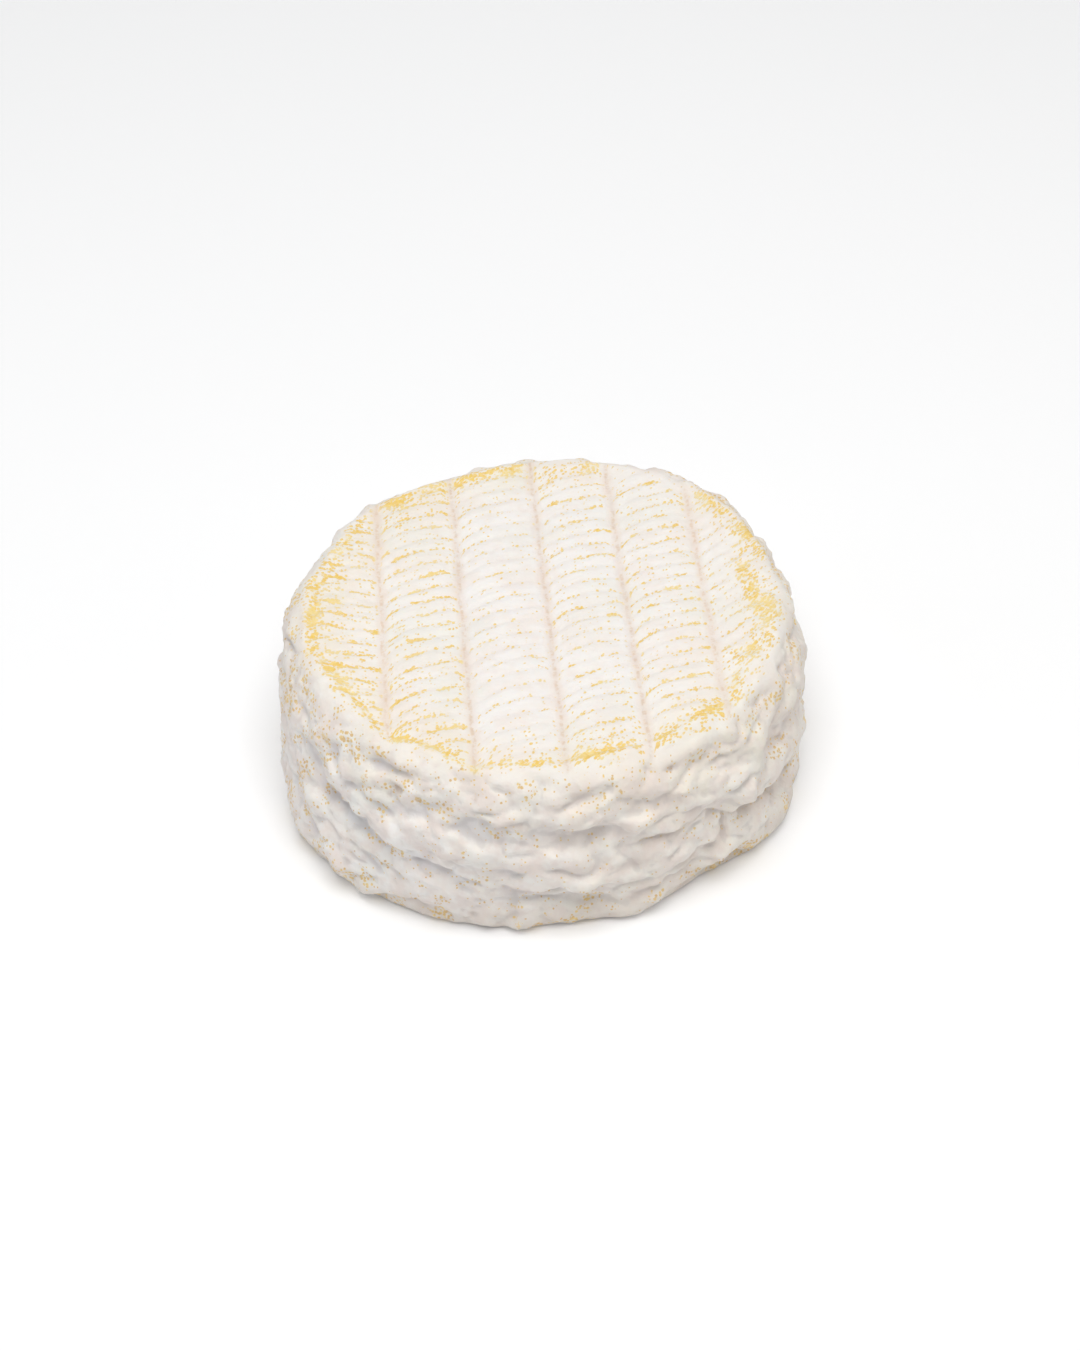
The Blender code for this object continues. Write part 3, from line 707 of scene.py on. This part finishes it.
def sculpt_skin(skin, inset):
    """Works the fine relief into the skin and stores what the material follows."""
    mesh = skin.data
    smooth = read_points(mesh)
    zone = find_zones(smooth, inset)
    marks, across, row, band = rack_marks(smooth)
    gold, cream, lip = rim_marks(smooth)
    top = waves_at(smooth, "top_waves") + waves_at(smooth, "top_grain") + lip * zone.upper
    folds, shade = side_marks(smooth, zone)
    dimples = DIMPLE_DEPTH * (0.5 + pillows_at(smooth, "underside_dimples"))

    relief = top * zone.facing_up + marks * zone.rack
    relief += folds * zone.side * smooth_step(*FOOT_FADE, zone.level)
    relief -= dimples * zone.facing_down
    points = smooth + read_normals(mesh) * relief[:, None]
    points = np.clip(points, (-HALF_WIDTH, -HALF_DEPTH, 0.0), (HALF_WIDTH, HALF_DEPTH, HEIGHT))
    write_points(mesh, points)

    ends = read_edges(mesh)
    near = soften(points, ends, NEAR_ROUNDS)
    far = soften(near, ends, FAR_ROUNDS)
    normals = read_normals(mesh)
    picked = np.clip(band + SIDE_GROOVES + 1, 0, len(BAND_DOTS) - 1).astype(int)
    values = {
        "top_face": zone.facing_up,
        "rack": zone.rack,
        "across": across,
        "row": row,
        "dot_share": np.array(BAND_DOTS)[picked] * zone.rack,
        "gold": gold * zone.upper,
        "cream": cream * zone.upper,
        "crease": shade * zone.side,
        "speck": count_specks(points, zone) * zone.side,
        "brown": stains_at(zone.angle, zone.level, BROWN_STAINS) * zone.side,
        "yellow": stains_at(zone.angle, zone.level, YELLOW_STAINS) * zone.side,
        "fine_hollow": ((near - points) * normals).sum(axis=1),
        "wide_hollow": ((far - near) * normals).sum(axis=1),
    }
    for name in SKIN_VALUES:
        set_attribute(mesh, name, values[name])


def plug(tree, value, socket):
    """Links a wire to a socket, or sets the socket to a plain value."""
    if isinstance(value, Wire):
        tree.links.new(value.socket, socket)
    else:
        socket.default_value = value


class Wire:
    """A value in a material's nodes, so that maths on it can be written as Python."""

    def __init__(self, tree, socket):
        self.tree = tree
        self.socket = socket

    def math(self, operation, *others):
        """One Math node that takes this value and the others."""
        node = self.tree.nodes.new("ShaderNodeMath")
        node.operation = operation
        for place, value in enumerate((self,) + others):
            plug(self.tree, value, node.inputs[place])
        return Wire(self.tree, node.outputs[0])

    def __add__(self, other):
        return self.math("ADD", other)

    def __sub__(self, other):
        return self.math("SUBTRACT", other)

    def __mul__(self, other):
        return self.math("MULTIPLY", other)

    def __pow__(self, other):
        return self.math("POWER", other)

    def __radd__(self, other):
        return self.math("ADD", other)

    def __rmul__(self, other):
        return self.math("MULTIPLY", other)

    def __rsub__(self, other):
        return self.math("MULTIPLY", -1.0).math("ADD", other)

    def most(self, other):
        """The larger of two values."""
        return self.math("MAXIMUM", other)

    def step(self, low, high):
        """0 below low and 1 above high, turning smoothly between them."""
        node = self.tree.nodes.new("ShaderNodeMapRange")
        node.interpolation_type = "SMOOTHSTEP"
        node.inputs["From Min"].default_value = low
        node.inputs["From Max"].default_value = high
        self.tree.links.new(self.socket, node.inputs["Value"])
        return Wire(self.tree, node.outputs["Result"])


class Palette:
    """Makes the nodes of one material."""

    def __init__(self, name):
        self.material = bpy.data.materials.new(name)
        self.material.use_nodes = True
        self.tree = self.material.node_tree
        self.shader = self.tree.nodes["Principled BSDF"]

    def make(self, kind, settings=None, output=0, **values):
        """One node: its settings first, then its sockets' values or links.

        A socket that shares its name with others is given by its place, as _6.
        """
        node = self.tree.nodes.new(kind)
        for name, value in (settings or {}).items():
            setattr(node, name, value)
        for name, value in values.items():
            socket = node.inputs[int(name[1:])] if name[0] == "_" else node.inputs[name]
            plug(self.tree, value, socket)
        return Wire(self.tree, node.outputs[output])

    def finish(self, sockets):
        """Sets or links the shader's sockets and gives the material."""
        for name, value in sockets.items():
            plug(self.tree, value, self.shader.inputs[name])
        return self.material

    def attribute(self, name):
        """A value that the mesh carries at its points."""
        return self.make("ShaderNodeAttribute", {"attribute_name": name}, output="Fac")

    def places(self, spacing):
        """Object coordinates counted in one spacing, in millimetres."""
        here = self.make("ShaderNodeTexCoord", output="Object")
        scale = (1.0 / (spacing * MM),) * 3
        return self.make("ShaderNodeVectorMath", {"operation": "MULTIPLY"}, _0=here, _1=scale)

    def noise(self, places, detail, roughness):
        """Noise from 0 to 1."""
        return self.make("ShaderNodeTexNoise", Vector=places, Scale=1.0, Detail=detail,
                         Roughness=roughness)

    def blend(self, share, first, second):
        """One colour into another by a share."""
        settings = {"data_type": "RGBA", "clamp_factor": True}
        return self.make("ShaderNodeMix", settings, output=2, _0=share, _6=first, _7=second)


def colour(red, green, blue):
    """A colour picked in a picture editor, 0 to 255, as a shader takes it."""
    linear = [((value / 255.0 + 0.055) / 1.055) ** 2.4 for value in (red, green, blue)]
    return (*linear, 1.0)


def rack_grid(paint, skin, spacing_across, spacing_along):
    """Places on the rack's marks, counted in one spacing across the grooves and one along them."""
    return paint.make("ShaderNodeCombineXYZ", X=skin.across * (1.0 / spacing_across),
                      Y=skin.row * (RIB_PITCH / spacing_along), Z=0.0)


def rack_patterns(paint, skin, grain):
    """Where the rack's marks lie in the material: grooves, the open rind, valleys and crests."""
    bands = skin.across * (1.0 / GROOVE_PITCH)
    distance = (bands - bands.math("ROUND")).math("ABSOLUTE") * GROOVE_PITCH
    ragged = skin.row + (grain.ragged - 0.5) * RIB_RAGGED
    turn = (ragged * (2.0 * math.pi)).math("COSINE") * 0.5
    rib_grain = {name: paint.noise(rack_grid(paint, skin, across, along), detail, roughness)
                 for name, (across, along, detail, roughness) in RIB_GRAIN.items()}
    return SimpleNamespace(
        groove=distance.step(*GROOVE_TINT) * skin.rack,
        groove_line=distance.step(*GROOVE_LINE) * skin.rack,
        beside_groove=distance.step(*BESIDE_GROOVE) * skin.rack,
        valley=0.5 - turn,
        crest=0.5 + turn,
        **rib_grain)


def scatter_dots(paint, edge, places, spacing, wanted, size):
    """Small dots scattered at random, more and larger ones where more are wanted."""
    near = paint.make("ShaderNodeTexVoronoi", output="Distance", Vector=places, Scale=1.0)
    spot = paint.make("ShaderNodeTexVoronoi", output="Color", Vector=places, Scale=1.0)
    near = near * spacing + (edge - 0.5) * DOT_RAGGED
    strength = wanted - paint.make("ShaderNodeSeparateColor", Color=spot)
    reach = strength.step(0.0, 0.6) * (0.5 * size) + 0.5 * size
    return (reach - near).step(*DOT_SOFTNESS) * strength.step(-0.01, 0.01)


def mould_coats(paint, skin, grain, rack):
    """The white mould's coats, painted shade among them, from first to last: each a colour and its
    share.
    """
    here = paint.places(1.0)
    leftward = paint.make("ShaderNodeSeparateXYZ", Vector=here).step(*LEFTWARD)
    level = paint.make("ShaderNodeSeparateXYZ", output=2, Vector=here)
    off_top = 1.0 - skin.top_face
    # How deep the side's wide hollows are, where painted shade goes.
    hollow = skin.wide_hollow.step(*WIDE_HOLLOW_SHADE) * off_top
    # Painted shade in the rib valleys beside the grooves; the streaks on the top are the rind's own.
    rib_valley_shade = rack.valley ** 2.0 * rack.beside_groove * 0.15
    blush_streaks = rack.streaks.step(0.5, 0.75) * skin.top_face * 0.12
    return (
        ("blush_and_shade", grain.mottle.step(0.42, 0.62) * 0.5),
        ("cool_white", grain.broad.step(0.45, 0.7) * 0.5),
        ("straw", skin.cream * (0.06 + grain.middle * 0.48)),
        ("straw", (skin.dot_share - 0.8) * (grain.middle * 0.6)),
        # Blush: painted shade in the rib valleys, with the top's own streaks.
        ("blush_and_shade", rib_valley_shade + blush_streaks),
        ("beige", rack.groove * (grain.middle * 0.75 - 0.02)),
        ("groove_brown", rack.groove_line * grain.flakes.step(0.42, 0.66) * 0.5),
        # The side turns warmer and more straw-coloured towards the right.
        ("straw", off_top * (0.26 - leftward * 0.26) * (0.3 + grain.middle)),
        ("rosy", grain.rosy.step(0.4, 0.62) * off_top * 0.55),
        # Painted shade in the side's wide hollows: cool lilac on the left, warm blush on the right.
        ("lilac_shade", hollow * leftward * 0.45),
        ("blush_and_shade", hollow * (1.0 - leftward) * 0.5),
        # Painted shade in the small hollows and creases, fainter on the top.
        ("grey_shade", skin.fine_hollow.step(*FINE_HOLLOW_SHADE) * (0.30 - skin.top_face * 0.18)),
        # Painted shade low on the side, darker towards the foot.
        ("low_shade_beige", level.step(*LOW_SHADE) * 0.6),
        # A brown line at the foot: partly the rind's own moist edge, partly painted contact shade.
        ("foot_line_and_shade", level.step(*FOOT_LINE_AND_SHADE) * (0.4 + grain.fine * 0.6)),
    )


def gold_marks(paint, skin, grain, rack):
    """The top's golden mould: patches of the rim's strokes, the pale gold round them, dots, dashes."""
    broken = rack.islands.step(0.38, 0.64) * 0.4 + grain.flakes.step(0.4, 0.6) * 0.35
    broken = broken + grain.fine.step(0.35, 0.65) * 0.25 + rack.valley * 0.15
    patches = (skin.gold * 1.2 + broken - 1.3).step(0.0, 0.2)
    halo = (skin.gold * 1.1 + grain.middle * 0.9 - 0.75).step(0.0, 0.8)

    busy = rack.clusters.step(0.42, 0.62)
    lines = rack.valley ** 5.0 + rack.crest ** 8.0 * 0.3
    wanted = skin.dot_share * (lines * (0.55 + busy * 1.1) + 0.10)
    wanted = wanted + skin.gold.step(0.02, 0.5) * 0.95 + skin.cream * skin.top_face * 0.38
    places = rack_grid(paint, skin, TOP_DOTS, TOP_DOTS)
    dots = scatter_dots(paint, grain.dot_edge, places, TOP_DOTS, wanted * skin.top_face, TOP_DOT_SIZE)
    dots = dots * (rack.beside_groove + (1.0 - skin.rack))

    in_valleys = skin.dot_share * busy * rack.valley ** 3.0 * 0.7
    dashes = (in_valleys + rack.islands * 1.2 + grain.fine * 1.3 - 1.76).step(0.0, 0.14)
    return patches, halo, dots, dashes * rack.beside_groove


def side_gold(paint, skin, grain):
    """The side's golden specks and stains, and the ochre that lies in its creases."""
    stain = (skin.yellow * 0.9 + grain.flakes * 1.9 + grain.fine * 0.6 - 1.85).step(0.0, 0.25)
    wanted = skin.speck * 2.4 + skin.yellow * 0.8
    places = paint.places(SIDE_DOTS)
    specks = scatter_dots(paint, grain.dot_edge, places, SIDE_DOTS, wanted, SIDE_DOT_SIZE)
    seam = skin.crease.step(0.45, 0.9) * (grain.flakes - 0.5).step(0.05, 0.12) * 0.6
    return specks.most(stain * 0.8), seam


def rind_material():
    """Dry white mould over pale rind, with golden specks, pinkish grooves, shaded folds and painted
    shade.
    """
    paint = Palette("white_mould_rind")
    skin = SimpleNamespace(**{name: paint.attribute(name) for name in SKIN_VALUES})
    grain = SimpleNamespace(**{
        name: paint.noise(paint.places(spacing), detail, roughness)
        for name, (spacing, detail, roughness) in GRAIN.items()})
    rack = rack_patterns(paint, skin, grain)
    patches, halo, dots, dashes = gold_marks(paint, skin, grain, rack)
    specks, seam = side_gold(paint, skin, grain)

    tone = {name: colour(*parts) for name, parts in RIND_COLOURS.items()}
    gold = paint.blend(grain.fine.step(0.4, 0.65) * 0.7, tone["golden"], tone["deep_gold"])
    tone["gold"] = paint.blend(grain.middle.step(0.42, 0.62) * 0.6, gold, tone["pale_gold"])
    tone["ochre"] = paint.blend(grain.ochre.step(0.4, 0.65), tone["yellow_ochre"], tone["brown_ochre"])
    coats = mould_coats(paint, skin, grain, rack) + (
        ("pale_gold", halo * 0.35),
        ("gold", patches * 0.85),
        ("gold", dashes * 0.8),
        ("gold", dots * 0.85),
        ("ochre", specks.most(seam) * 0.75),
        ("stain_brown", (skin.brown + grain.flakes * 0.8 - 0.6).step(0.0, 0.6) * 0.45),
    )
    surface = tone["white"]
    for name, share in coats:
        surface = paint.blend(share, surface, tone[name])

    marks = patches.most(dots).most(dashes)
    height = grain.fine * (0.20 - skin.top_face * 0.10) + grain.fluff * 0.06 + grain.middle * 0.12
    height = height + rack.streaks * skin.top_face * 0.08 - marks * 0.04 - specks * 0.04
    bump = paint.make("ShaderNodeBump", output="Normal", Height=height, Strength=0.8, Distance=MM)
    return paint.finish({
        "Base Color": surface,
        "Roughness": 0.80 + grain.fine * 0.14 - marks * 0.10,
        "Specular IOR Level": 0.28,
        "Subsurface Weight": 0.10,
        "Subsurface Radius": (1.0, 0.75, 0.5),
        "Subsurface Scale": MM,
        "Sheen Weight": 0.12,
        "Sheen Roughness": 0.6,
        "Normal": bump,
    })


def floor_material():
    """Plain matt white board."""
    return Palette("white_board").finish({
        "Base Color": FLOOR_WHITE,
        "Roughness": 0.9,
        "Specular IOR Level": 0.1,
        "Emission Color": FLOOR_GLOW,
        "Emission Strength": FLOOR_GLOW_STRENGTH,
    })


def make_floor():
    """The board that the wheel stands on."""
    bpy.ops.mesh.primitive_plane_add(size=FLOOR_SIZE, location=(0.0, 0.0, 0.0))
    floor = bpy.context.active_object
    floor.name = "white_floor"
    floor.data.materials.append(floor_material())


def make_softbox(name, place, size, power, tint):
    """One soft light that faces the wheel."""
    light = bpy.data.lights.new(name, "AREA")
    light.shape = "RECTANGLE"
    light.size, light.size_y = size
    light.energy = power
    light.color = tint
    lamp = bpy.data.objects.new(name, light)
    lamp.location = place
    lamp.rotation_euler = (Vector(LAMP_AIM) - Vector(place)).to_track_quat("-Z", "Y").to_euler()
    bpy.context.scene.collection.objects.link(lamp)


def light_scene():
    """An even white surround and the soft lamps."""
    world = bpy.data.worlds.new("studio")
    bpy.context.scene.world = world
    world.use_nodes = True
    background = world.node_tree.nodes["Background"]
    background.inputs["Color"].default_value = SKY_WHITE
    background.inputs["Strength"].default_value = SKY_STRENGTH
    for lamp in LAMPS:
        make_softbox(*lamp)
    bpy.context.scene.view_settings.view_transform = "Standard"


def place_camera():
    """The photograph's view."""
    camera = bpy.data.cameras.new("camera")
    camera.lens = CAMERA_LENS
    camera.sensor_width = CAMERA_SENSOR
    camera.clip_start = CAMERA_NEAR * MM
    view = bpy.data.objects.new("camera", camera)
    aim = Vector(CAMERA_AIM) * MM
    rise = math.radians(CAMERA_ELEVATION)
    away = Vector((0.0, -math.cos(rise), math.sin(rise))) * CAMERA_DISTANCE * MM
    view.location = aim + away
    view.rotation_euler = (-away).to_track_quat("-Z", "Y").to_euler()
    bpy.context.scene.collection.objects.link(view)
    bpy.context.scene.camera = view


place_camera()
rind, rind_inset = make_skin()
sculpt_skin(rind, rind_inset)
rind.data.materials.append(rind_material())
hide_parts(NODE)
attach(rind, "root")
make_floor()
light_scene()
